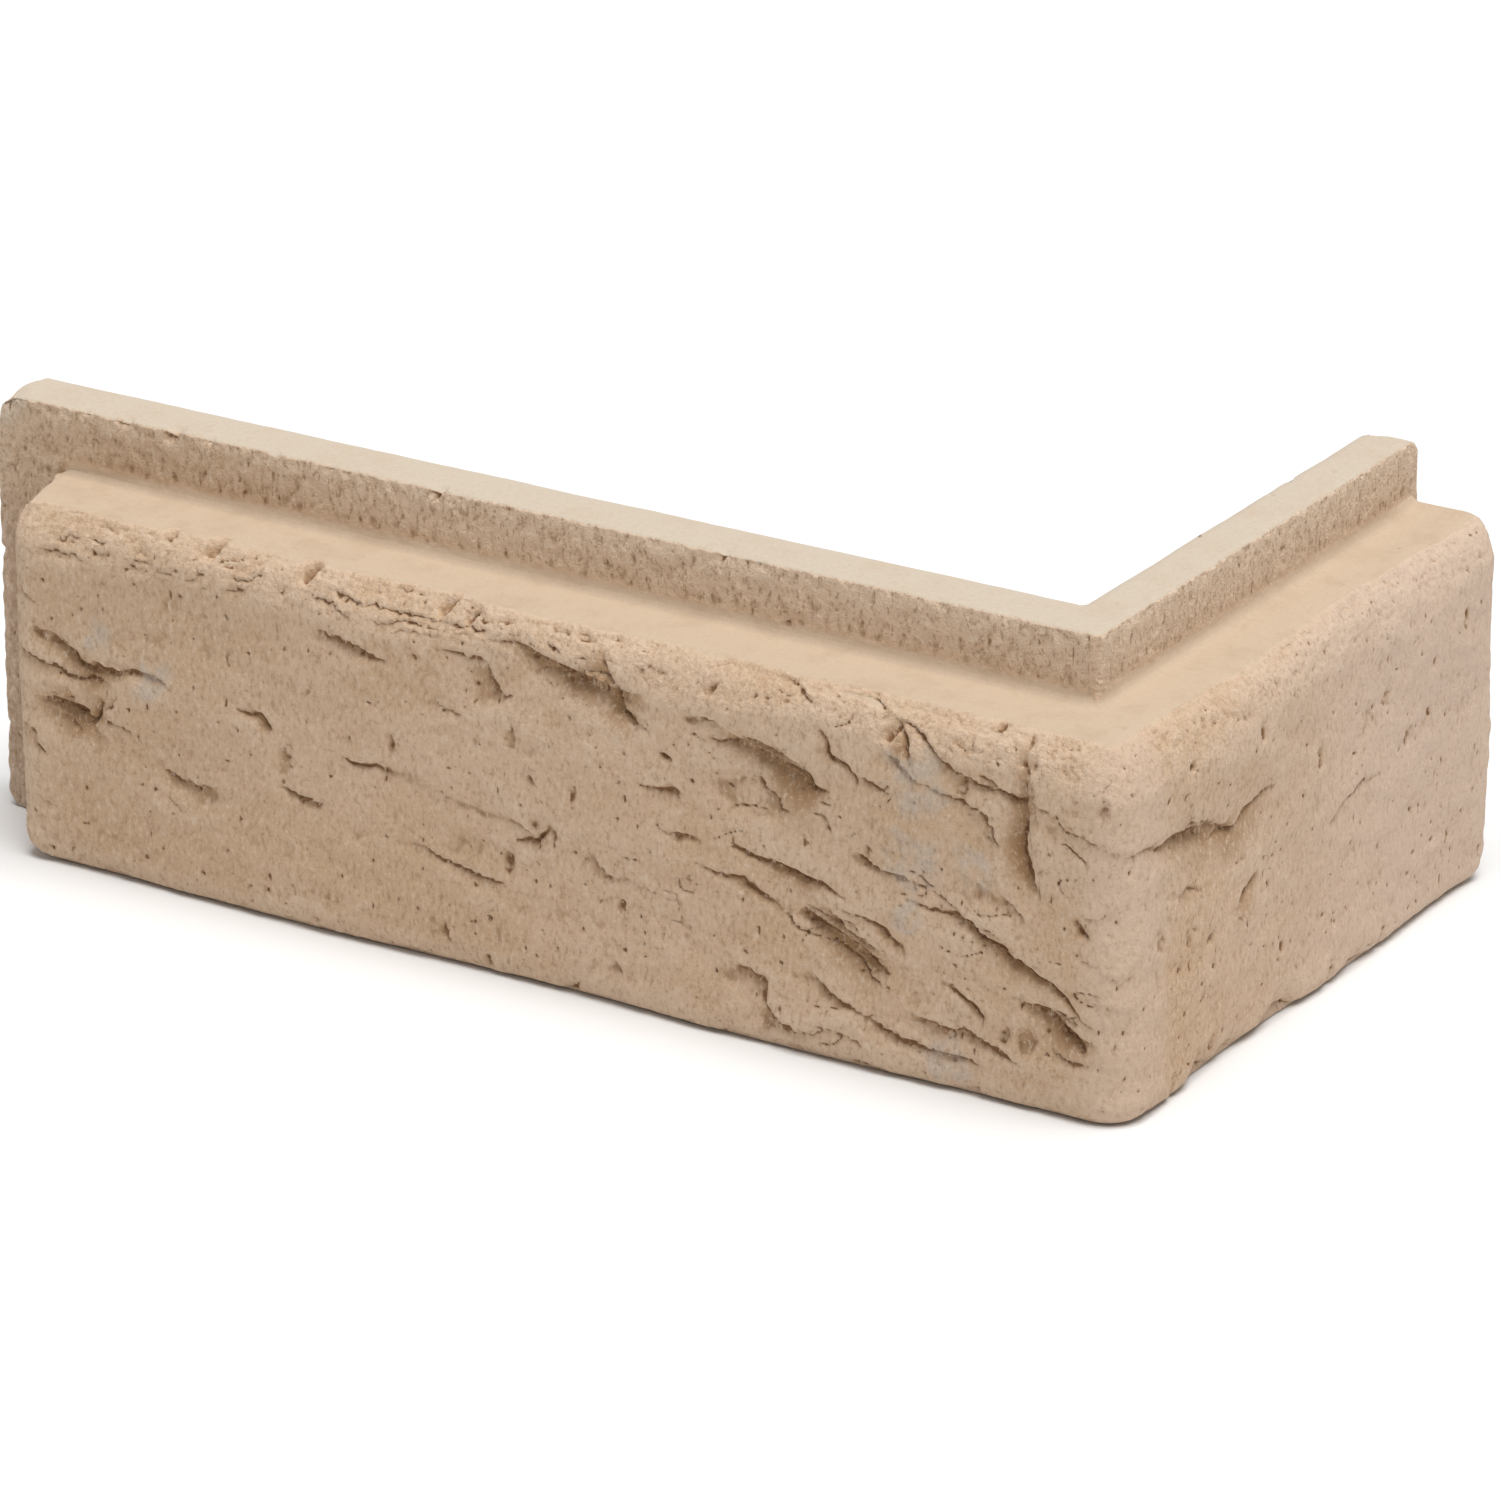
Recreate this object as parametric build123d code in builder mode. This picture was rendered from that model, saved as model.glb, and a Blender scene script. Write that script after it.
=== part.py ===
from build123d import *
from math import atan2, cos, exp, pi, radians, sin, sqrt
import os

# Corner piece of brick-look stone cladding, cast in one piece.
# A thin L-shaped backing slab goes round the wall's corner, and a thick brick face stands proud of it on both
# legs. The slab shows above the brick face as the bed joint, and beyond its far end on the long leg as the
# head joint.
# Millimetres. The origin is the wall's own corner at the bed level: the long leg runs along -X, the short
# leg along +Y, the two wall faces are the planes y = 0 and x = 0, and +Z is up the wall.

# Driving dimensions
BRICK_HEIGHT = 65.0
BED_JOINT = 12.0
TOTAL_HEIGHT = BRICK_HEIGHT + BED_JOINT

LONG_LEG = 209.5  # slab, from the wall's corner to its far end
SHORT_LEG = 100.0
HEAD_JOINT = 13.5  # slab beyond the brick face on the long leg
LONG_SLAB = 11.0  # slab thickness on the long leg
SHORT_SLAB = 9.0  # and on the short leg
LONG_RELIEF = 17.8  # how far the brick face stands proud of the slab
SHORT_RELIEF = 15.6

# Slab's edges
SLAB_CORNER = 2.5  # outer corner in plan
SLAB_END = 3.5  # top and bottom of the far ends
SLAB_ARRIS = 0.5  # along its top, worn flat
WALL_CORNER = 1.2  # inside corner, against the wall
COVE = 2.0  # hollow where the slab meets the ledge
COVE_ROOT = 0.5  # how far its bead is sunk into both

# Brick's edges
CORNER_ROUND = 7.0  # upright outer corner, in plan
END_ROUND = 2.6  # upright edges of the far ends, in plan
END_DRAFT = 3.3  # the long leg's far end leans in by this from slab to face
END_SETBACK = 0.3  # the brick stops this far short of the slab's end on the short leg
HEAD_ROUND = 2.4  # top of the far ends, seen square on
FOOT_ROUND = 6.5  # bottom of the far ends, seen square on
BOTTOM_ROUND = 3.4  # bottom arris
TOP_DEPTH = 6.6  # top arris, in from the face, or less where it drops less
LONG_TOP_DROP = 7.6  # top arris, down from the ledge
SHORT_TOP_DROP = 10.0

FRONT_Y = -(LONG_SLAB + LONG_RELIEF)
FRONT_X = SHORT_SLAB + SHORT_RELIEF
BRICK_FAR_X = -(LONG_LEG - HEAD_JOINT)
BRICK_FAR_Y = SHORT_LEG - END_SETBACK

# The face is hand-moulded: it swells and hollows by about a millimetre.
LONG_STATIONS = 11  # stretches between the points of each level's line
SHORT_STATIONS = 7
SWELL = 0.5
LONG_WAVE, LONG_WAVE_START = 96.0, 1.0  # length of the swell along X, and its angle at the wall's corner
SHORT_WAVE, SHORT_WAVE_START = 82.0, 0.6
UPRIGHT_WAVE = 115.0  # length of the swell up the face
# Heights of the level sections above the bottom arris
LEVELS = [5.0, 6.5, 11.0, 18.0, 27.0, 36.0, 45.0, 51.0, 55.0, 58.5, 61.0, 62.6, 63.8, 64.6, BRICK_HEIGHT]

# Broad hollows on the long face: place along X, height, half width, half height, depth
LONG_HOLLOWS = [
    (-166.0, 50.0, 20.0, 9.0, 1.2),
    (-88.0, 54.0, 22.0, 8.0, 1.5),
    (-44.0, 44.0, 16.0, 9.0, 1.0),
    (-38.0, 20.0, 24.0, 9.0, 1.0),
    (8.0, 44.0, 10.0, 14.0, 1.4),
]
# The same on the short face, along Y, and a swelling, of negative depth, at its end
SHORT_HOLLOWS = [
    (2.0, 40.0, 18.0, 7.0, 1.3),
    (58.0, 50.0, 22.0, 9.0, 0.9),
    (98.0, 16.0, 14.0, 24.0, -1.2),
]
# Worn lengths of the top arris, and a sharp one, where it drops less: place along the leg, half width,
# added drop
LONG_WEAR = [
    (-182.0, 10.0, 2.0),
    (-108.0, 16.0, 2.6),
    (-58.0, 12.0, 3.0),
    (-22.0, 12.0, 2.2),
    (12.0, 12.0, 2.4),
]
SHORT_WEAR = [
    (-4.0, 14.0, 1.8),
    (52.0, 14.0, 1.6),
    (98.0, 12.0, -2.0),
]

# Tears, where the clay of the master was dragged open: place and height of the lip's middle, its slope in
# degrees, its width, how far below it the hollow reaches, and the depth
LONG_TEARS = [
    (-178.5, 40.2, -16, 24.0, 5.0, 1.4),
    (-183.0, 31.0, -6, 13.0, 5.5, 1.8),
    (-80.0, 58.0, -11, 32.0, 7.0, 1.8),
    (-42.0, 51.0, -14, 24.0, 7.0, 2.0),
    (-28.0, 22.8, -22, 24.0, 6.0, 1.7),
    (13.0, 17.0, -28, 16.0, 4.5, 1.4),
    (6.5, 46.0, -84, 22.0, 5.0, 1.3),
]
SHORT_TEARS = [(-6.0, 45.0, -12, 30.0, 4.5, 1.3)]


def hollow_depth(place, height, hollows):
    """How far the hollows draw the face back at this place."""
    return sum(
        depth * exp(-(((place - at) / half_width) ** 2) - ((height - level) / half_height) ** 2)
        for at, level, half_width, half_height, depth in hollows
    )


def long_front(x, height):
    """Y of the long face, before its arrises are rounded."""
    swell = SWELL * sin(2 * pi * x / LONG_WAVE + LONG_WAVE_START) * cos(2 * pi * height / UPRIGHT_WAVE)
    return FRONT_Y + swell + hollow_depth(x, height, LONG_HOLLOWS)


def short_front(y, height):
    """X of the short face, before its arrises are rounded."""
    swell = SWELL * sin(2 * pi * y / SHORT_WAVE + SHORT_WAVE_START) * cos(2 * pi * height / UPRIGHT_WAVE)
    return FRONT_X - swell - hollow_depth(y, height, SHORT_HOLLOWS)


def quarter(reach, across, along):
    """Inset of a quarter ellipse, across by along, at this reach into it: nothing at 0, all of it at along."""
    share = min(max(reach / along, 0.0), 1.0)
    return across * (1 - sqrt(1 - share**2))


def arris_inset(place, height, usual_drop, wear):
    """How far the top and bottom arrises draw the face in at this place."""
    drop = usual_drop
    for at, half_width, more in wear:
        drop += more * exp(-(((place - at) / half_width) ** 2))
    top = quarter(height - (BRICK_HEIGHT - drop), TOP_DEPTH * min(drop / usual_drop, 1.0), drop)
    return top + quarter(BOTTOM_ROUND - height, BOTTOM_ROUND, BOTTOM_ROUND)


def end_inset(height):
    """How far the brick's far ends draw in near its top and bottom."""
    head = quarter(height - (BRICK_HEIGHT - HEAD_ROUND), HEAD_ROUND, HEAD_ROUND)
    return head + quarter(FOOT_ROUND - height, FOOT_ROUND, FOOT_ROUND)


def even(start, end, stretches):
    """Evenly spaced places from start to end."""
    return [start + (end - start) * i / stretches for i in range(stretches + 1)]


def tear(lip_middle, outward, along, width, reach, depth):
    """A scoop as of a thumb: sheer at its lip, with a floor that rises to the face over its reach below."""
    below = along.cross(outward)
    floor_slope = atan2(depth, reach)
    radius = (width**2 / 4 + depth**2) / (2 * depth)
    off_floor = outward * cos(floor_slope) - below * sin(floor_slope)
    down_floor = below * cos(floor_slope) + outward * sin(floor_slope)
    axis_start = lip_middle - outward * depth + off_floor * radius
    with Locations(Plane(origin=axis_start, x_dir=along, z_dir=down_floor)):
        Cylinder(radius, 2 * reach, align=(Align.CENTER, Align.CENTER, Align.MIN), mode=Mode.SUBTRACT)


with BuildPart() as corner_piece:
    # Backing slab: an L in plan, as high as the brick and its joint
    with BuildSketch(Plane.XY):
        with BuildLine():
            Polyline(
                (0, 0),
                (-LONG_LEG, 0),
                (-LONG_LEG, -LONG_SLAB),
                (SHORT_SLAB, -LONG_SLAB),
                (SHORT_SLAB, SHORT_LEG),
                (0, SHORT_LEG),
                close=True,
            )
        make_face()
    extrude(amount=TOTAL_HEIGHT)
    for middle, radius in (
        ((0, 0, TOTAL_HEIGHT / 2), WALL_CORNER),
        ((SHORT_SLAB, -LONG_SLAB, TOTAL_HEIGHT / 2), SLAB_CORNER),
    ):
        fillet(corner_piece.edges().filter_by(Axis.Z).sort_by_distance(middle)[0], radius)
    fillet(corner_piece.edges().filter_by(Axis.Y).group_by(Axis.X)[0], SLAB_END)
    fillet(corner_piece.edges().filter_by(Axis.X).group_by(Axis.Y)[-1], SLAB_END)
    chamfer(corner_piece.edges().group_by(Axis.Z)[-1].sort_by(SortBy.LENGTH)[-1:], SLAB_ARRIS)

    # Brick face: a loft through level sections whose outer line swells, hollows and draws in at the arrises
    foot = [BOTTOM_ROUND * (1 - sin(radians(angle))) for angle in (90, 60, 30, 0)]
    for height in foot + LEVELS:
        draw_in = end_inset(height)
        far_x = BRICK_FAR_X + END_DRAFT + draw_in
        far_y = BRICK_FAR_Y - draw_in
        long_line = [
            (x, long_front(x, height) + arris_inset(x, height, LONG_TOP_DROP, LONG_WEAR))
            for x in even(far_x + END_ROUND, FRONT_X - CORNER_ROUND, LONG_STATIONS)
        ]
        short_line = [
            (short_front(y, height) - arris_inset(y, height, SHORT_TOP_DROP, SHORT_WEAR), y)
            for y in even(FRONT_Y + CORNER_ROUND, far_y - END_ROUND, SHORT_STATIONS)
        ]
        end_front = (far_x, long_line[0][1] + END_ROUND)
        end_back = (far_x - END_DRAFT, -LONG_SLAB / 2)
        short_end = (short_line[-1][0] - END_ROUND, far_y)
        with BuildSketch(Plane.XY.offset(height)):
            with BuildLine():
                Polyline(
                    short_end,
                    (SHORT_SLAB / 2, far_y),
                    (SHORT_SLAB / 2, -LONG_SLAB / 2),
                    end_back,
                    end_front,
                )
                TangentArc(end_front, long_line[0], tangent=(0, -1))
                Spline(long_line, tangents=[(1, 0), (1, 0)])
                TangentArc(long_line[-1], short_line[0], tangent=(1, 0))
                Spline(short_line, tangents=[(0, 1), (0, 1)])
                TangentArc(short_line[-1], short_end, tangent=(0, 1))
            make_face()
    loft()

    # Cove at the foot of the joint strip, swept round the corner
    cove_start = (BRICK_FAR_X + COVE, -LONG_SLAB, BRICK_HEIGHT)
    with BuildLine():
        FilletPolyline(
            cove_start,
            (SHORT_SLAB, -LONG_SLAB, BRICK_HEIGHT),
            (SHORT_SLAB, BRICK_FAR_Y - HEAD_ROUND, BRICK_HEIGHT),
            radius=SLAB_CORNER,
        )
    with BuildSketch(Plane(origin=cove_start, x_dir=(0, 0, 1), z_dir=(1, 0, 0))):
        with BuildLine():
            Polyline((COVE, 0), (COVE, -COVE_ROOT), (-COVE_ROOT, -COVE_ROOT), (-COVE_ROOT, COVE), (0, COVE))
            CenterArc((COVE, COVE), COVE, 180, 90)
        make_face()
    sweep()

    for x, height, slope, width, reach, depth in LONG_TEARS:
        along = Vector(cos(radians(slope)), 0, sin(radians(slope)))
        tear(Vector(x, long_front(x, height), height), Vector(0, -1, 0), along, width, reach, depth)
    for y, height, slope, width, reach, depth in SHORT_TEARS:
        along = Vector(0, cos(radians(slope)), sin(radians(slope)))
        tear(Vector(short_front(y, height), y, height), Vector(1, 0, 0), along, width, reach, depth)

corner_piece.part.label = "corner_piece"
print("volume", corner_piece.part.volume, "valid", corner_piece.part.is_valid)
print(corner_piece.part.bounding_box())

os.makedirs("parts", exist_ok=True)
export_step(corner_piece.part, "parts/corner_piece.step")
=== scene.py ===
from math import pi, radians

import bmesh
import bpy
import numpy as np
from mathutils import Matrix, Vector


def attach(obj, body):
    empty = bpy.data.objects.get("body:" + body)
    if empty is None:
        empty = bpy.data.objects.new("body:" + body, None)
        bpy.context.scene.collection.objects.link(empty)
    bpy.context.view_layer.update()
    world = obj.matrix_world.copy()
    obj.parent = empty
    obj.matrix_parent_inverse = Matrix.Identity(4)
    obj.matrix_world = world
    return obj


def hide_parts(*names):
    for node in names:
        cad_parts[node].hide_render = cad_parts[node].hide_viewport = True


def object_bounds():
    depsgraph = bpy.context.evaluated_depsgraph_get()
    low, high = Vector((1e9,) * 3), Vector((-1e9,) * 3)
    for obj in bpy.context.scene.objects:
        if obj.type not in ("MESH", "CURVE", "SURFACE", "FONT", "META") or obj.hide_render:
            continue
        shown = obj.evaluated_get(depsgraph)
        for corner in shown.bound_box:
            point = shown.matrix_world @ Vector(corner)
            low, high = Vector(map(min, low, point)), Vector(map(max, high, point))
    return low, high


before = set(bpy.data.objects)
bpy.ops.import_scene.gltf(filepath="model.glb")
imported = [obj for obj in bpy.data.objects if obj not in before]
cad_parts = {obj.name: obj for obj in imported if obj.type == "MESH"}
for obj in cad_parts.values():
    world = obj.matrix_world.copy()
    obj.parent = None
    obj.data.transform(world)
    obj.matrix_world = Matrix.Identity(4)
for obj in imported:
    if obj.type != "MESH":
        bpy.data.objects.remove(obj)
cad_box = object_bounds()
collection = bpy.context.scene.collection
MM = 0.001

# Camera: a long lens at the photograph's angle, from the front right and above. Its place and turn were
# worked out from the piece's own square edges.
CAMERA_PLACE = (0.5838, -1.0498, 0.5364)
CAMERA_HEADING = radians(31.64)  # to the left of +Y
CAMERA_DIP = radians(22.0)
CAMERA_ROLL = radians(0.23)
LENS, SENSOR = 192.0, 36.0

camera = bpy.data.objects.new("camera", bpy.data.cameras.new("camera"))
camera.data.lens = LENS
camera.data.sensor_width = SENSOR
camera.matrix_world = (
    Matrix.Translation(CAMERA_PLACE)
    @ Matrix.Rotation(CAMERA_HEADING, 4, "Z")
    @ Matrix.Rotation(pi / 2 - CAMERA_DIP, 4, "X")
    @ Matrix.Rotation(CAMERA_ROLL, 4, "Z")
)
collection.objects.link(camera)
bpy.context.scene.camera = camera

# Studio: one very soft lamp high over the right of the piece, and a pale world all round, which the camera
# sees as plain white.
KEY_FROM = Vector((0.21, -0.09, 0.98))
KEY_SPREAD = radians(40)
KEY_STRENGTH = 3.1
WORLD_STRENGTH = 0.3

key = bpy.data.objects.new("key_lamp", bpy.data.lights.new("key_lamp", "SUN"))
key.data.angle = KEY_SPREAD
key.data.energy = KEY_STRENGTH
key.rotation_euler = KEY_FROM.to_track_quat("Z", "Y").to_euler()
collection.objects.link(key)


class Socket:
    """A shader value that takes part in Python sums."""

    def __init__(self, tree, link):
        self.tree, self.link = tree, link

    def _math(self, operation, *values):
        return add(self.tree, "ShaderNodeMath", {"operation": operation}, *values)

    def __add__(self, other):
        return self._math("ADD", self, other)

    def __sub__(self, other):
        return self._math("SUBTRACT", self, other)

    def __rsub__(self, other):
        return self._math("SUBTRACT", other, self)

    def __mul__(self, other):
        return self._math("MULTIPLY", self, other)

    __radd__, __rmul__ = __add__, __mul__

    def held(self, low, high):
        """This value spread so that low gives 0 and high gives 1, and held between them."""
        settings = {"interpolation_type": "SMOOTHSTEP"}
        return add(self.tree, "ShaderNodeMapRange", settings, self, low, high, 0.0, 1.0)


def add(tree, kind, settings, *values, output=0, **named):
    """Adds a node: its settings first, then the values or links of its sockets. Gives the output asked for."""
    node = tree.nodes.new(kind)
    for name, value in settings.items():
        setattr(node, name, value)
    pairs = list(zip(node.inputs, values)) + [(node.inputs[name], value) for name, value in named.items()]
    for socket, value in pairs:
        if isinstance(value, Socket):
            tree.links.new(value.link, socket)
        else:
            socket.default_value = value
    return Socket(tree, node.outputs[output]) if node.outputs else None


world = bpy.data.worlds.new("pale_world")
world.use_nodes = True
tree = world.node_tree
tree.nodes.clear()
path = tree.nodes.new("ShaderNodeLightPath")
seen = Socket(tree, path.outputs["Is Camera Ray"]) + Socket(tree, path.outputs["Is Glossy Ray"])
brightness = seen * (1.0 - WORLD_STRENGTH) + WORLD_STRENGTH
background = add(tree, "ShaderNodeBackground", {}, (1.0, 1.0, 1.0, 1.0), brightness)
add(tree, "ShaderNodeOutputWorld", {}, background)
bpy.context.scene.world = world
bpy.context.scene.view_settings.view_transform = "Standard"

# Floor: one wide pale sheet under the piece, matt, lying at the level of the piece's bed. It belongs to the
# studio and keeps the piece's shadow.
FLOOR_REACH = 12.0
FLOOR_COLOUR = (0.84, 0.84, 0.835)


def finish(name):
    """A new material with nothing in it, ready for its shader."""
    material = bpy.data.materials.new(name)
    material.use_nodes = True
    material.node_tree.nodes.clear()
    return material, material.node_tree


sheet = bmesh.new()
bmesh.ops.create_grid(sheet, x_segments=1, y_segments=1, size=FLOOR_REACH)
floor = bpy.data.objects.new("floor", bpy.data.meshes.new("floor"))
sheet.to_mesh(floor.data)
sheet.free()
material, tree = finish("floor_paint")
shader = add(tree, "ShaderNodeBsdfDiffuse", {}, (*FLOOR_COLOUR, 1.0))
add(tree, "ShaderNodeOutputMaterial", {}, shader)
floor.data.materials.append(material)
collection.objects.link(floor)

# Corner piece: concrete cast in one flexible mould, so the whole skin is one dense mesh in one material.
# The plain solid is cast again at sand-grain density, and its skin then gets the relief of the real face.
# Everything below is in millimetres: x along the long leg, y along the short one, z up.
SKIN_GRID = 0.42
PIECE_TRIANGLES = 195000
SLAB_FRONT, SLAB_SIDE = -11.0, 9.0  # Y of the slab on the long leg and X of it on the short one
LEDGE, SLAB_TOP = 65.0, 77.0
BRICK_END = -196.0  # X of the brick's far end, where the head joint strip begins
FIELD_TURN = 64  # random fields come round again after this many cells
FIELD_HEIGHT = 1.7  # brings a field's highest lumps to about 1


def applied(piece):
    """Gives the piece the mesh that its modifiers make."""
    bpy.context.view_layer.update()
    mesh = bpy.data.meshes.new_from_object(piece.evaluated_get(bpy.context.evaluated_depsgraph_get()))
    piece.modifiers.clear()
    piece.data = mesh


def skin(piece):
    """The piece's points and normals, in millimetres."""
    count = len(piece.data.vertices)
    points, normals = np.empty(count * 3), np.empty(count * 3)
    piece.data.vertices.foreach_get("co", points)
    piece.data.vertex_normals.foreach_get("vector", normals)
    return points.reshape(-1, 3) / MM, normals.reshape(-1, 3)


def placed(piece, points):
    """Moves the piece's points, keeping them inside the solid's own box."""
    low, high = np.array(cad_box) / MM
    piece.data.vertices.foreach_set("co", (np.clip(points, low, high) * MM).ravel())
    piece.data.update()


def neighbours(piece):
    """Pairs of points that an edge of the piece's mesh joins."""
    links = np.empty(len(piece.data.edges) * 2, dtype=int)
    piece.data.edges.foreach_get("vertices", links)
    return links.reshape(-1, 2)


def eased(values, links, rounds):
    """The values after this many rounds of easing each towards the mean of its neighbours."""
    count = len(values)
    ends = np.concatenate((links, links[:, ::-1]))
    share = 1.0 / np.bincount(ends[:, 0], minlength=count)[:, None]
    for turn in range(rounds):
        sums = [np.bincount(ends[:, 0], values[ends[:, 1], axis], count) for axis in range(values.shape[1])]
        values = 0.3 * values + 0.7 * np.stack(sums, axis=1) * share
    return values


def rise(values, low, high):
    """0 up to low and 1 from high on, with a smooth rise between them."""
    share = np.clip((values - low) / (high - low), 0.0, 1.0)
    return share**2 * (3 - 2 * share)


def lumps(places, size, seed):
    """Smooth random heights from about -1 to 1 at these places, with about one rise or dip to a cell."""
    spots = places / size
    cells = np.floor(spots).astype(int)
    inside = spots - cells
    ease = inside**3 * (inside * (inside * 6 - 15) + 10)
    slopes = np.random.default_rng(seed).normal(size=(FIELD_TURN,) * 3 + (3,))
    slopes /= np.linalg.norm(slopes, axis=-1, keepdims=True)
    heights = np.zeros(len(places))
    for step in np.ndindex(2, 2, 2):
        at = (cells + step) % FIELD_TURN
        slope = slopes[at[:, 0], at[:, 1], at[:, 2]]
        share = np.prod(np.where(step, ease, 1 - ease), axis=1)
        heights += share * ((inside - step) * slope).sum(axis=1)
    return heights * FIELD_HEIGHT


def pits(places, size, share, seed):
    """Round pits, at most one to a cell and in this share of the cells: 1 in their middles, 0 outside them."""
    random = np.random.default_rng(seed)
    middles = random.uniform(0.25, 0.75, (FIELD_TURN,) * 3 + (3,))
    reaches = random.uniform(0.2, 0.5, (FIELD_TURN,) * 3) * (random.uniform(size=(FIELD_TURN,) * 3) < share)
    spots = places / size
    cells = np.floor(spots).astype(int)
    inside = spots - cells
    deepest = np.zeros(len(places))
    for step in np.ndindex(3, 3, 3):
        offset = np.array(step) - 1
        at = (cells + offset) % FIELD_TURN
        middle = middles[at[:, 0], at[:, 1], at[:, 2]] + offset
        reach = reaches[at[:, 0], at[:, 1], at[:, 2]]
        gap = np.linalg.norm(inside - middle, axis=1)
        deepest = np.maximum(deepest, 1 - gap / np.maximum(reach, 1e-3))
    return np.clip(deepest * 1.6, 0.0, 1.0)


def zones(points, normals):
    """How far each point belongs to each part of the skin, from 0 to 1."""
    x, y, z = points.T
    front, side, up = -normals[:, 1], normals[:, 0], normals[:, 2]
    by_long_leg = x < SLAB_SIDE - 2.0
    in_front = np.maximum(SLAB_FRONT - y, x - SLAB_SIDE)
    past_end = BRICK_END - x

    # The brick: its two faces, its ends, its upright corner and its crumbled edges
    proud = np.maximum(rise(SLAB_FRONT - y, 1.5, 4.0), rise(x - SLAB_SIDE, 1.5, 4.0))
    proud *= rise(LEDGE + 1.0 - z, 0.0, 0.5)
    zone = {"long": proud * rise(front, 0.25, 0.75), "short": proud * rise(side, 0.25, 0.75)}
    zone["face"] = np.maximum(zone["long"], zone["short"])
    zone["end"] = proud * rise(np.maximum(-side, -front), 0.6, 0.9)
    zone["corner"] = proud * rise(x, 14.0, 20.0) * rise(-12.0 - y, 0.0, 6.0)
    top_edge = rise(up, 0.08, 0.35) * rise(1 - up, 0.02, 0.2) * rise(z, 50.0, 56.0)
    far_edge = rise(-side, 0.1, 0.4) * rise(front, 0.1, 0.4) * rise(-x, 188.0, 192.0)
    zone["arris"] = proud * np.maximum(top_edge, 0.5 * far_edge)

    # The ledge and its cove
    flat = rise(up, 0.75, 0.97) * rise(2.5 - abs(z - LEDGE), 0.0, 0.5)
    cove = rise(4.0 - in_front, 0.0, 1.0) * rise(in_front, -0.6, 0.0) * rise(-past_end, 0.0, 3.0)
    cove *= rise(z, LEDGE - 1.5, LEDGE - 0.5) * rise(LEDGE + 4.0 - z, 0.0, 2.0)
    zone["ledge"] = np.maximum(flat, cove)

    # The slab: joint strip, head joint strip, far end, top, back and upper front edge
    on_strip = rise(1.2 - np.where(by_long_leg, abs(y - SLAB_FRONT), abs(x - SLAB_SIDE)), 0.0, 0.8)
    above = np.maximum(rise(z, LEDGE + 0.9, LEDGE + 3.2), rise(past_end, 0.5, 2.0))
    zone["joint"] = on_strip * above * rise(np.maximum(front, side), 0.5, 0.9)
    slab_end = rise(-side, 0.6, 0.9) * rise(-200.0 - x, 0.0, 2.0)
    zone["strip"] = np.maximum(zone["joint"], slab_end)
    # The head joint strip beside the brick's end, where the colour paints the brick's shadow
    zone["head"] = on_strip * rise(past_end, 0.0, 1.0) * rise(LEDGE - z, 0.0, 14.0)
    zone["top"] = rise(up, 0.4, 0.8) * rise(z, SLAB_TOP - 1.5, SLAB_TOP - 0.5)
    zone["back"] = rise(y, -2.5, -1.0) * rise(1.5 - x, 0.0, 1.5)
    behind = np.where(by_long_leg, y - SLAB_FRONT, SLAB_SIDE - x)
    off_edge = np.hypot(SLAB_TOP - z, np.maximum(behind, 0.0))
    zone["slab_arris"] = rise(2.6 - off_edge, 0.0, 2.2) * (behind > -1)
    return zone


blank = bmesh.new()
blank.from_mesh(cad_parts["corner_piece"].data)
bmesh.ops.remove_doubles(blank, verts=blank.verts, dist=1e-6)
corner = bpy.data.objects.new("corner_piece_face", bpy.data.meshes.new("corner_piece_face"))
blank.to_mesh(corner.data)
blank.free()
collection.objects.link(corner)
recast = corner.modifiers.new("recast", "REMESH")
recast.mode = "VOXEL"
recast.voxel_size = SKIN_GRID * MM
applied(corner)
whole_skin, whole_normals = skin(corner)

# The solid's scoops lose their crisp rims, so that each lip can be torn afresh
SCOOP_ROUNDS = 45
soft = zones(whole_skin, whole_normals)["face"] * rise(whole_skin[:, 2], 4.0, 9.0)
soft_skin = eased(whole_skin, neighbours(corner), SCOOP_ROUNDS)
whole_skin += (soft_skin - whole_skin) * soft[:, None]

# The cove runs out towards the far end, where ledge and slab meet at a crisp line
run_out = rise(-whole_skin[:, 0], 172.0, 190.0)
from_slab, from_ledge = SLAB_FRONT - whole_skin[:, 1], whole_skin[:, 2] - LEDGE
in_cove = (np.minimum(from_slab, from_ledge) > -0.05) & (np.maximum(from_slab, from_ledge) < 2.3)
on_slab = in_cove & (from_ledge > from_slab)
on_ledge = in_cove & ~on_slab
whole_skin[on_slab, 1] += (from_slab * run_out)[on_slab]
whole_skin[on_ledge, 2] -= (from_ledge * run_out)[on_ledge]

# The brick's far end stands a little further out than the solid's, most of all at the slab
END_SHIFT, SHIFT_AT_SLAB = 1.2, 1.8
proud = rise(from_slab, 0.1, 1.0) * rise(LEDGE + 0.5 - whole_skin[:, 2], 0.0, 0.4)
shift = END_SHIFT + (SHIFT_AT_SLAB - END_SHIFT) * rise(-from_slab, -16.0, 0.0)
whole_skin[:, 0] -= shift * proud * rise(-whole_skin[:, 0], 165.0, 195.0)

# At its other end the ledge is swollen
END_SWELL = 1.2
on_brick = rise(whole_skin[:, 0], SLAB_SIDE - 0.1, SLAB_SIDE + 0.2)
on_brick *= rise(LEDGE + 2.2 - whole_skin[:, 2], 0.0, 0.3)
swell = END_SWELL * on_brick * rise(whole_skin[:, 2], 50.0, 63.0) * rise(whole_skin[:, 1], 86.0, 99.0)
whole_skin[:, 2] += swell

# The relief is worked out for all but the bed, which stays as flat as the mould's rim left it
shown = np.flatnonzero(whole_normals[:, 2] > -0.9)
points, normals = whole_skin[shown], whole_normals[shown]
zone = zones(points, normals)
x, y, z = points.T
outward = np.zeros(len(points))

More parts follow.
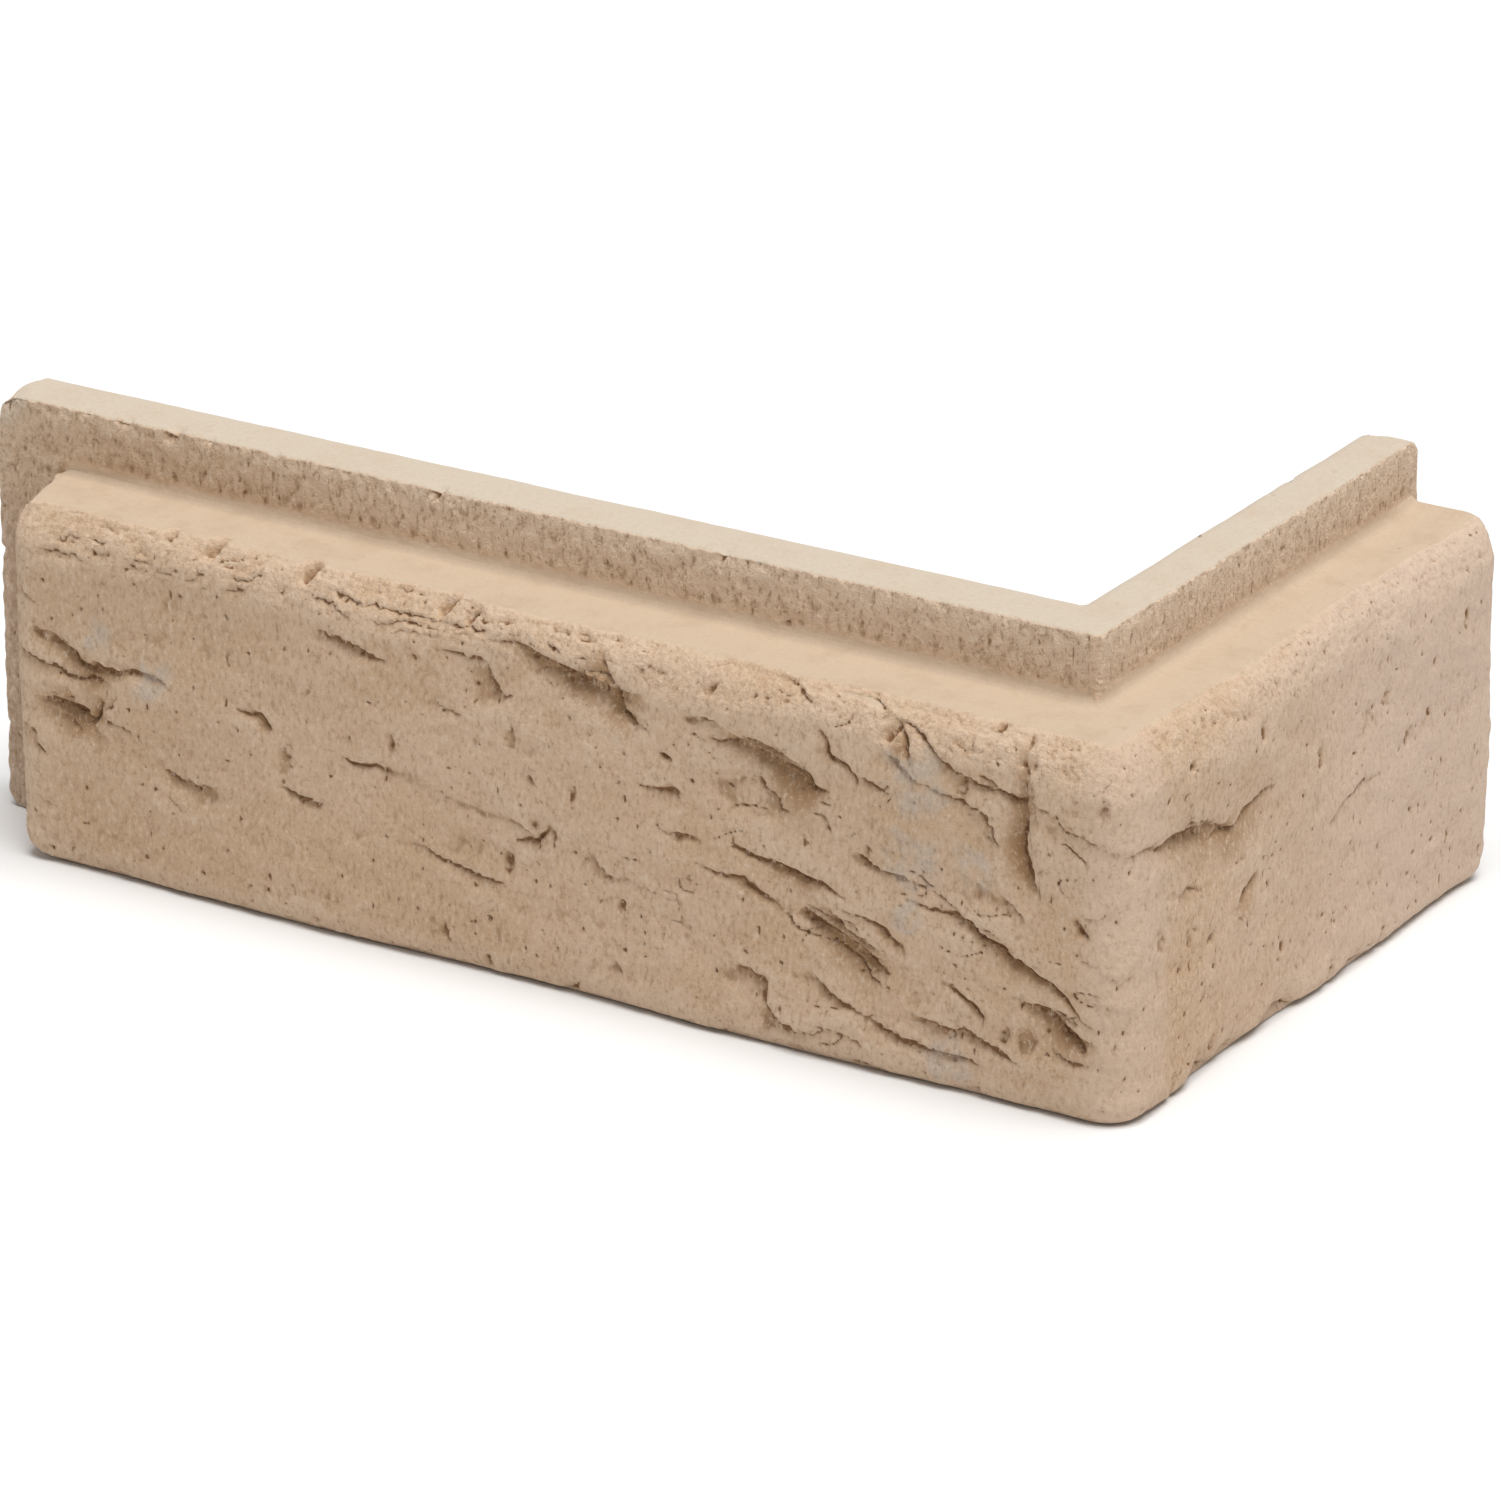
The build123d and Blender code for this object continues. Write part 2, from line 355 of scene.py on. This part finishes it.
# Lumps of the moulded clay, then its sand
HAND_LUMPS = ((17.0, 0.35), (7.0, 0.25), (3.4, 0.14))  # cell and height of each layer
SAND = ((1.7, 0.07), (0.95, 0.1))
long_lumps = points * (0.8, 0.8, 1.3)
upright_grain = points * (1.0, 1.0, 0.55)
for seed, (cell, height) in enumerate(HAND_LUMPS):
    outward += height * lumps(long_lumps, cell, seed) * zone["face"]
for seed, (cell, height) in enumerate(SAND, 10):
    outward += height * lumps(upright_grain, cell, seed) * np.maximum(zone["face"], zone["end"])

# Smears: clay dragged over itself in layers, each with a sheer lip above the slope of the next. They are
# strongest near the corner and at the far end.
SMEAR_SLOPE = 0.36  # fall of the lips towards the corner, to one along
SMEAR_PITCH = 9.5
SMEAR_DEPTH = 1.0
rows = (z + SMEAR_SLOPE * x) / SMEAR_PITCH + 0.8 * lumps(points * (1.0, 1.0, 2.2), 21.0, 20)
rows += 0.16 * lumps(points, 6.5, 21) + 0.05 * lumps(points, 1.8, 22)
layer = rows - np.floor(rows)
roughest = rise(x, -75.0, -40.0) * 0.35 + rise(-x, 168.0, 180.0) * 0.15 - 0.1
dragged = rise(lumps(points * (0.7, 1.0, 1.4), 12.0, 23) + roughest, 0.05, 0.6)
outward -= SMEAR_DEPTH * layer**1.6 * dragged * zone["long"] * (1 - 0.7 * zone["corner"])

# Tears: each is a ragged line with a sheer lip above it and a hollow below, deepest some way along it
LIP = 0.4  # how soon the lip is back to full height
CREVICE, CREVICE_DEPTH = 0.55, 0.7  # reach and depth of the cleft under the deepest part of a lip
TEAR_SPAN = 45.0  # no tear reaches further than this from its middle
LONG_TEARS = (  # points along X and up, depth, reach of the hollow, share of its length to the deepest point
    (((-189.3, 43.4), (-180.6, 39.2), (-177.9, 38.1), (-166.5, 40.1)), 1.0, 2.6, 0.55),
    (((-189.4, 30.3), (-183.5, 31.2), (-179.3, 30.2), (-176.8, 27.8), (-177.6, 25.8)), 1.6, 3.0, 0.75),
    (((-176.9, 27.6), (-175.6, 34.4)), 0.7, 0.9, 0.2),
    (((-147.5, 37.6), (-143.0, 37.0), (-140.0, 34.8)), 0.9, 1.6, 0.85),
    (((-126.5, 33.5), (-123.2, 32.6), (-119.0, 32.9), (-114.7, 32.1)), 0.6, 0.8, 0.4),
    (((-91.2, 25.6), (-86.3, 27.0), (-84.8, 28.6), (-85.2, 31.0)), 0.8, 1.6, 0.6),
    (((-99.0, 60.6), (-87.8, 58.9), (-81.5, 57.8), (-72.4, 57.4), (-70.6, 54.6), (-66.2, 52.0)), 1.3, 3.2, 0.8),
    (
        ((-54.4, 51.8), (-46.5, 52.9), (-41.7, 52.0), (-36.4, 49.5), (-34.5, 47.8), (-30.6, 47.8)),
        1.5,
        3.6,
        0.72,
    ),
    (((-68.0, 41.6), (-59.9, 41.1), (-58.4, 38.4)), 0.6, 1.8, 0.6),
    (((-63.9, 34.0), (-59.0, 34.2), (-54.6, 33.2)), 0.5, 1.2, 0.5),
    (((-63.7, 47.8), (-60.1, 46.5)), 0.6, 1.0, 0.6),
    (((-49.4, 37.8), (-48.8, 34.2), (-45.1, 33.2), (-37.0, 31.9), (-31.7, 30.4), (-28.1, 29.0)), 1.1, 1.3, 0.7),
    (((-56.4, 29.2), (-47.7, 28.6), (-44.3, 27.2), (-37.0, 25.4)), 0.7, 1.2, 0.6),
    (((-37.0, 25.4), (-30.3, 23.5), (-26.4, 23.0), (-23.5, 20.5), (-18.6, 18.2)), 1.4, 3.4, 0.6),
    (((-29.7, 27.2), (-22.0, 25.9), (-17.0, 24.5), (-14.9, 21.4)), 0.6, 1.0, 0.6),
    (
        ((-16.4, 31.8), (-8.8, 30.8), (-3.4, 30.5), (1.1, 27.8), (8.8, 24.9), (13.5, 21.8), (19.4, 16.2)),
        1.1,
        1.4,
        0.55,
    ),
    (((3.1, 20.3), (9.0, 18.6), (15.1, 15.6), (18.2, 11.6)), 1.2, 2.6, 0.75),
    (((-9.4, 19.2), (-4.8, 17.2), (-1.3, 14.6), (-1.0, 12.2)), 0.8, 1.0, 0.6),
    (
        ((6.2, 65.0), (5.2, 61.0), (5.7, 57.1), (7.2, 53.1), (5.7, 49.3), (6.0, 43.0), (8.8, 37.4)),
        1.2,
        2.6,
        0.72,
    ),
    (((-3.6, 56.6), (2.5, 54.4), (6.8, 53.4)), 0.7, 1.0, 0.7),
    (((14.6, 35.6), (16.5, 33.8), (18.8, 31.9)), 0.7, 0.9, 0.5),
    (((-33.0, 58.6), (-31.3, 56.6), (-31.4, 53.8), (-27.6, 52.4), (-24.8, 49.1)), 0.8, 1.3, 0.35),
    (((-18.6, 62.6), (-16.5, 58.7), (-15.7, 54.8)), 1.1, 2.2, 0.6),
)
SHORT_TEARS = (  # the same along Y
    (((-27.5, 47.6), (-20.0, 46.6), (-12.8, 45.6), (-3.5, 44.8), (0.8, 41.7)), 0.8, 4.4, 0.8),
    (((-1.0, 41.2), (4.2, 42.6), (8.0, 40.6), (11.0, 41.4), (14.0, 43.0), (21.6, 44.2)), 1.0, 3.4, 0.35),
    (((8.6, 25.4), (11.2, 27.8), (16.4, 30.4)), 1.0, 2.8, 0.5),
    (((-1.0, 23.2), (1.8, 25.2)), 0.8, 1.6, 0.5),
    (((-15.0, 36.5), (-6.0, 34.6), (2.0, 33.8)), 0.35, 2.0, 0.5),
    (((40.0, 30.2), (52.0, 33.4), (60.0, 33.0)), 0.3, 2.4, 0.5),
)


def tear_depth(places, line, reach, deepest):
    """Share of a tear's depth at places on a face: sheer above its line, and rising over its reach below."""
    line = np.array(line)
    steps = np.linalg.norm(np.diff(line, axis=0), axis=1)
    gone, depth = 0.0, np.zeros(len(places))
    for start, end, step in zip(line[:-1], line[1:], steps):
        along = (end - start) / step
        offset = places - start
        walked = np.clip(offset @ along, 0.0, step)
        gap = np.linalg.norm(offset - walked[:, None] * along, axis=1)
        above = offset @ (-along[1], along[0]) > 0
        share = (gone + walked) / steps.sum()
        taper = np.clip(np.minimum(share / deepest, (1 - share) / (1 - deepest)), 0.0, 1.0) ** 0.6
        width = np.where(above, LIP, 0.5 + (reach - 0.5) * taper)
        cleft = CREVICE_DEPTH * taper**2 * np.exp(-((gap / np.minimum(width, CREVICE)) ** 2))
        depth = np.maximum(depth, taper * np.exp(-((gap / width) ** 2)) + cleft)
        gone += step
    return depth


def torn(points, zone, spread):
    """Depth of all the tears at these points, with the hollows below their lips this many times as wide."""
    wander = [1.1 * lumps(points, 5.0, seed) + 0.35 * lumps(points, 1.5, seed + 1) for seed in (30, 32)]
    total = np.zeros(len(points))
    for tears, axis, face in ((LONG_TEARS, 0, "long"), (SHORT_TEARS, 1, "short")):
        places = np.stack((points[:, axis] + wander[0], points[:, 2] + wander[1]), axis=1)
        for line, depth, reach, deepest in tears:
            near = (np.linalg.norm(places - np.mean(line, axis=0), axis=1) < TEAR_SPAN) & (zone[face] > 0.0)
            total[near] += depth * tear_depth(places[near], line, reach * spread, deepest) * zone[face][near]
    return total


outward -= torn(points, zone, 1.0)

# Chips broken out of the edges: each slopes down towards the corner and ends at a sheer leaning wall
WALL_LEAN = 0.5
CHIPS = (  # place of the wall's middle, reach, depth
    ((-162.0, -24.5, 64.6), 2.2, 1.7),
    ((-152.6, -24.8, 64.2), 3.4, 2.8),
    ((-133.0, -25.2, 63.8), 3.4, 2.8),
    ((-126.0, -26.0, 59.0), 1.8, 1.0),
    ((-105.4, -25.2, 63.6), 3.4, 2.2),
    ((-100.5, -25.5, 62.6), 2.2, 1.6),
    ((-53.6, -26.2, 59.6), 2.8, 1.3),
    ((-19.0, -26.4, 59.5), 2.8, 1.8),
    ((-0.5, -25.0, 64.0), 2.6, 1.0),
    ((24.4, -7.1, 56.4), 1.2, 1.1),
    ((-80.0, -28.0, 0.5), 3.5, 0.8),
    ((-209.5, -10.6, 47.0), 2.6, 1.0),
    ((-209.5, -10.6, 14.5), 2.4, 0.8),
    ((-190.0, -10.8, 77.0), 1.8, 0.9),
    ((-181.0, -10.8, 77.0), 2.6, 1.2),
    ((-171.0, -10.8, 76.8), 3.0, 1.6),
    ((-164.0, -10.8, 77.0), 1.8, 0.8),
    ((-139.0, -10.8, 77.0), 1.6, 0.6),
    ((-117.0, -10.8, 77.0), 2.8, 1.0),
    ((-61.0, -10.8, 77.0), 2.6, 0.8),
)


def chipped(places):
    """Depth of the chips at these places, and how far each place is down one, from 0 to 1."""
    jagged = places + 0.4 * lumps(places, 1.8, 44)[:, None]
    depths, shares = np.zeros(len(places)), np.zeros(len(places))
    for middle, reach, depth in CHIPS:
        offset = jagged - middle
        past_wall = offset[:, 0] - WALL_LEAN * offset[:, 2]
        slope = np.clip(1 + past_wall / reach, 0.0, 1.0) * rise(0.4 - past_wall, 0.0, 0.4)
        share = slope * rise(1 - np.hypot(offset[:, 1], offset[:, 2]) / reach, 0.0, 0.8)
        depths = np.maximum(depths, depth * share)
        shares = np.maximum(shares, share)
    return depths, shares


chip_depth, chip_share = chipped(points)
outward -= chip_depth

# Corners and lower edges worn round: place, reach, depth
WORN_PLACES = (
    ((-209.5, -11.0, 77.0), 7.0, 1.5),
    ((-209.5, 0.0, 77.0), 4.0, 0.8),
    ((0.0, 100.0, 77.0), 5.0, 1.3),
    ((24.0, -1.0, 0.0), 7.0, 1.8),
    ((24.0, 8.0, 0.0), 6.0, 0.9),
    ((24.0, 26.4, 0.0), 8.0, 1.9),
    ((24.0, 52.0, 0.0), 6.0, 0.8),
)
for spot, reach, depth in WORN_PLACES:
    gap = np.linalg.norm(points - spot, axis=1)
    outward -= depth * rise(reach - gap, 0.0, reach) * (1 + 0.4 * lumps(points, 3.0, 45))

# Crumbled arrises: short flakes lying along the top of the brick, coarsest on the far half of the long leg,
# where they also reach down the face
FLAKE_PITCH, FLAKE_HEIGHT, CRUMB_HEIGHT, CRUMB_LOSS = 2.3, 0.55, 0.16, 0.12
stack = (z - y * (x < SLAB_SIDE) + x * (x > SLAB_SIDE)) / FLAKE_PITCH
stack += 1.3 * lumps(points * (0.4, 0.4, 1.0), 4.0, 40) + 0.3 * lumps(points, 1.7, 41)
flaked = rise(lumps(points, 5.0, 42), -0.35, 0.25) * (0.35 + 0.65 * rise(-x, 45.0, 95.0))
flakes = FLAKE_HEIGHT * flaked * (stack - np.floor(stack)) ** 1.5
crumbs = CRUMB_HEIGHT * lumps(points, 1.5, 43) - CRUMB_LOSS - flakes
reach_down = 0.7 * rise(z, 55.0, 59.5) * rise(-x, 92.0, 112.0) * zone["long"]
unbroken = 1 - 0.8 * rise(chip_share, 0.0, 0.3)
outward += crumbs * np.maximum(zone["arris"], reach_down) * (1 - 0.5 * zone["corner"]) * unbroken

# Pocks, pits and hair cracks of the faces
POCK_DEPTH, PIT_DEPTH, CRACK_DEPTH = 0.35, 0.6, 0.4
outward -= POCK_DEPTH * rise(lumps(points * (1.0, 1.0, 0.75), 1.25, 50), 0.55, 0.85) * zone["face"]
outward -= PIT_DEPTH * pits(upright_grain + 0.5 * lumps(points, 1.2, 61)[:, None], 4.5, 0.07, 51) * zone["face"]
crack = rise(0.06 - abs(lumps(points * (0.7, 0.7, 1.5), 5.5, 52)), 0.0, 0.05)
cracked = rise(lumps(points, 9.0, 53), 0.2, 0.5) * rise(x, -80.0, -45.0)
outward -= CRACK_DEPTH * crack * cracked * zone["long"]

# The joint strip is coarse all over and pocked, and the ledge and the slab's top are smooth but for a few
# air holes
STRIP_LOSS, STRIP_POCK_DEPTH, CAST_HOLE_DEPTH = 0.18, 0.22, 0.45
coarse = 0.16 * lumps(upright_grain, 1.9, 54) + 0.24 * lumps(upright_grain, 1.05, 55) - STRIP_LOSS
strip_pocks = STRIP_POCK_DEPTH * rise(lumps(upright_grain, 1.15, 56), 0.35, 0.8)
outward += (coarse - strip_pocks) * zone["strip"]
outward += 0.1 * lumps(points, 11.0, 57) * zone["ledge"]
outward -= CAST_HOLE_DEPTH * pits(points, 3.0, 0.03, 58) * np.maximum(zone["ledge"], zone["top"])
worn = 0.1 + 0.3 * rise(lumps(points, 6.0, 59), 0.0, 0.6) + 0.1 * lumps(points, 1.6, 60)
outward -= worn * zone["slab_arris"]

# The wall's side, struck off level while wet: slow waves and a few air holes
AIR_HOLE_DEPTH = 0.6
outward += (0.12 * lumps(points, 15.0, 62) + 0.05 * lumps(points, 4.0, 63) - 0.12) * zone["back"]
outward -= AIR_HOLE_DEPTH * pits(points + 0.5 * lumps(points, 1.4, 64)[:, None], 6.5, 0.05, 65) * zone["back"]
whole_skin[shown] += normals * outward[:, None]
placed(corner, whole_skin)

corner.data.polygons.foreach_set("use_smooth", [True] * len(corner.data.polygons))
thin = corner.modifiers.new("thin", "DECIMATE")
thin.ratio = PIECE_TRIANGLES / (2 * len(corner.data.polygons))
even = corner.modifiers.new("even", "WEIGHTED_NORMAL")
even.weight = 60
applied(corner)
points, normals = skin(corner)
placed(corner, points)

# What the colour follows: hollows and knobs of the finished skin, its parts, the damp and painted shade below
# its lips and in its chips, and its bloom
HOLLOW_SPAN = 0.42  # depth of a hollow, against the skin some 4 mm around it, that counts as fully in shade
NEAR_ROUNDS, WIDE_ROUNDS = 4, 50  # rounds of easing that give the skin a hollow is measured against
DAMP_AND_SHADE_SPREAD = 2.0  # the damp and painted shade below a lip, to the width of its hollow
WORN_END_REACH = 8.0
BLOOMS = (  # place on the long face along X and up, and reach
    (-176.2, 44.5, 3.4),
    (-164.3, 38.9, 3.6),
    (-14.2, 52.6, 5.0),
    (-15.3, 38.3, 5.6),
    (-2.9, 40.6, 3.8),
    (-15.7, 29.2, 3.2),
    (-8.4, 5.0, 4.4),
)

points, normals = skin(corner)
links = neighbours(corner)
near_skin = eased(points, links, NEAR_ROUNDS)
wide_skin = eased(near_skin, links, WIDE_ROUNDS)
zone = zones(points, normals)
cast = (1 - np.maximum(zone["ledge"], zone["top"])) * (1 - zone["back"])
# Painted shadow on the floor of each chip, below its wall
chip_floor_shadow = rise(chipped(points)[1], 0.2, 0.9) * zone["arris"]
off_worn_end = np.linalg.norm(points - WORN_PLACES[0][0], axis=1)
bloomed = np.zeros(len(points))
blotch = 1 + 0.5 * lumps(points, 3.0, 60)
for x_mark, z_mark, reach in BLOOMS:
    gap = np.hypot(points[:, 0] - x_mark, points[:, 2] - z_mark) * blotch / reach
    bloomed = np.maximum(bloomed, rise(1.1 - gap, 0.0, 0.4))
for name, values in {
    # how deep each point lies in a small crease, for the painted shade there
    "nook_shade": ((near_skin - points) * normals).sum(axis=1) * cast,
    "hollow": ((wide_skin - points) * normals).sum(axis=1) / HOLLOW_SPAN * cast,
    "damp_and_shade": rise(torn(points, zone, DAMP_AND_SHADE_SPREAD), 0.1, 1.2) + 0.7 * chip_floor_shadow,
    "bloom": bloomed * zone["long"],
    "far": np.maximum(zone["long"], zone["joint"]) * rise(-points[:, 0], 110.0, 175.0),
    "short": zone["short"] * rise(points[:, 1], -10.0, 70.0),
    "corner": zone["corner"],
    "worn_end": rise(WORN_END_REACH - off_worn_end, 0.0, 4.0),
    "ledge": zone["ledge"],
    "joint": zone["strip"],
    "head": zone["head"],
    "top": zone["top"],
    "back": zone["back"],
}.items():
    corner.data.attributes.new(name, "FLOAT", "POINT").data.foreach_set("value", values)

FACE_COLOUR = (0.63, 0.446, 0.303)
WARM_COLOUR = (0.59, 0.402, 0.256)  # broad patches of the face
FAR_COLOUR = (0.55, 0.375, 0.235)  # the face and joint strip towards the far end
DAMP_AND_SHADE_COLOUR = (0.35, 0.195, 0.085)  # floors of hollows: a damp brown, with painted shade
ROSY_COLOUR = (0.62, 0.468, 0.364)  # the short leg's face, and the rubbed corner
PALE_COLOUR = (0.70, 0.545, 0.41)  # rubbed knobs and pale grains
LEDGE_COLOUR = (0.555, 0.428, 0.307)
LEDGE_STAIN = (0.49, 0.365, 0.25)
TOP_COLOUR = (0.58, 0.492, 0.39)
TOP_STAIN = (0.56, 0.44, 0.325)
JOINT_COLOUR = (0.73, 0.546, 0.39)
HEAD_SHADOW_COLOUR = (0.40, 0.275, 0.2)  # painted shadow of the brick's end on the head joint strip
BLOOM_COLOUR = (0.52, 0.455, 0.395)
# specks and grains, and the painted shade of small creases
SPECK_AND_SHADE_COLOUR = (0.36, 0.225, 0.13)
# dirt and painted shade deep in the cracks
CRACK_DIRT_AND_SHADE_COLOUR = (0.2, 0.09, 0.03)
UPRIGHT_GRAIN = (1.0, 1.0, 0.6)  # grains are taller than they are long
GRAIN = 0.8
GRAIN_BUMP = 0.0005  # in metres

material, tree = finish("cast_stone")
here = add(tree, "ShaderNodeTexCoord", {}, output="Object")
drawn_up = add(tree, "ShaderNodeVectorMath", {"operation": "MULTIPLY"}, here, UPRIGHT_GRAIN)


def pattern(size, detail=2.0, roughness=0.5, spots=here):
    """Random values about 0.5, in patches of this many millimetres."""
    return add(tree, "ShaderNodeTexNoise", {}, spots, Scale=1 / (size * MM), Detail=detail, Roughness=roughness)


def marked(name):
    """The value that the skin holds under this name."""
    return add(tree, "ShaderNodeAttribute", {"attribute_name": name}, output="Fac")


def blend_colours(share, first, second):
    """From the first colour to the second as share goes from 0 to 1."""
    node = tree.nodes.new("ShaderNodeMix")
    node.data_type = "RGBA"
    tree.links.new(share.link, node.inputs["Factor"])
    for socket, value in ((node.inputs[6], first), (node.inputs[7], second)):
        if isinstance(value, Socket):
            tree.links.new(value.link, socket)
        else:
            socket.default_value = (*value, 1.0)
    return Socket(tree, node.outputs[2])


hollow, nook_shade, damp_and_shade, bloom = marked("hollow"), marked("nook_shade"), marked("damp_and_shade"), marked("bloom")
joint, ledge, top, back = marked("joint"), marked("ledge"), marked("top"), marked("back")
short_face, rubbed_corner = marked("short"), marked("corner")
grains = pattern(GRAIN, 3.0, 0.7, drawn_up)
specks = pattern(1.3, 2.0, 0.6, drawn_up)
sandy = 1.0 - ledge * 0.8 - top * 0.7 - back * 0.5
sandy = sandy * (1.0 + joint * 0.35 - short_face * 0.4 - rubbed_corner * 0.3)
cast_colour = blend_colours(pattern(7.0, 3.0, 0.6).held(0.45, 0.7) * 0.6, LEDGE_COLOUR, LEDGE_STAIN)
struck_colour = blend_colours(pattern(14.0, 3.0, 0.6).held(0.3, 0.7) * 0.6, FACE_COLOUR, JOINT_COLOUR)
top_colour = blend_colours(pattern(9.0, 4.0, 0.6).held(0.45, 0.7) * 0.5, TOP_COLOUR, TOP_STAIN)
colour = blend_colours(pattern(26.0, 3.0, 0.6).held(0.42, 0.62), FACE_COLOUR, WARM_COLOUR)
for share, over in (  # each laid over the ones before
    (short_face * 0.85 + rubbed_corner * 0.5, ROSY_COLOUR),
    (ledge.held(0.1, 0.9), cast_colour),
    (joint.held(0.0, 1.0), JOINT_COLOUR),
    (marked("far") * 0.6, FAR_COLOUR),
    # painted shadow of the brick's end on the head joint strip
    (marked("head") * 0.55, HEAD_SHADOW_COLOUR),
    (back.held(0.1, 0.9), struck_colour),
    (top.held(0.1, 0.9), top_colour),
    ((hollow * -1.0).held(0.1, 0.9) * (0.3 - rubbed_corner * 0.2), PALE_COLOUR),
    (marked("worn_end") * 0.6, TOP_COLOUR),
    # painted shade in the hollows, with some damp brown
    (hollow.held(0.15, 1.0) * 0.6, DAMP_AND_SHADE_COLOUR),
    # damp and painted shade below the lips, and painted shadow on the chips' floors
    (damp_and_shade * pattern(5.0, 3.0, 0.6).held(0.15, 0.55) * 0.9, DAMP_AND_SHADE_COLOUR),
    # painted shade in the small creases and pits of the skin
    (nook_shade.held(0.03, 0.12) * (0.5 - joint * 0.25), SPECK_AND_SHADE_COLOUR),
    # dirt and painted shade deep in the cracks under the lips
    (nook_shade.held(0.08, 0.2) * 0.95, CRACK_DIRT_AND_SHADE_COLOUR),
    (bloom * pattern(2.5).held(0.25, 0.6) * 0.55, BLOOM_COLOUR),
    (specks.held(0.64, 0.76) * sandy * 0.25, SPECK_AND_SHADE_COLOUR),
    (grains.held(0.5, 0.7) * sandy * 0.58, SPECK_AND_SHADE_COLOUR),
    (grains.held(0.48, 0.3) * sandy * 0.7, PALE_COLOUR),
):
    colour = blend_colours(share, colour, over)

bump = add(tree, "ShaderNodeBump", {}, 1.0, GRAIN_BUMP, Height=pattern(GRAIN, 4.0, 0.65) * sandy)
shader = add(tree, "ShaderNodeBsdfPrincipled", {"name": "stone"}, colour, Roughness=0.92, Normal=bump)
add(tree, "ShaderNodeOutputMaterial", {}, shader)
corner.data.materials.clear()
corner.data.materials.append(material)
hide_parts("corner_piece")
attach(corner, "root")
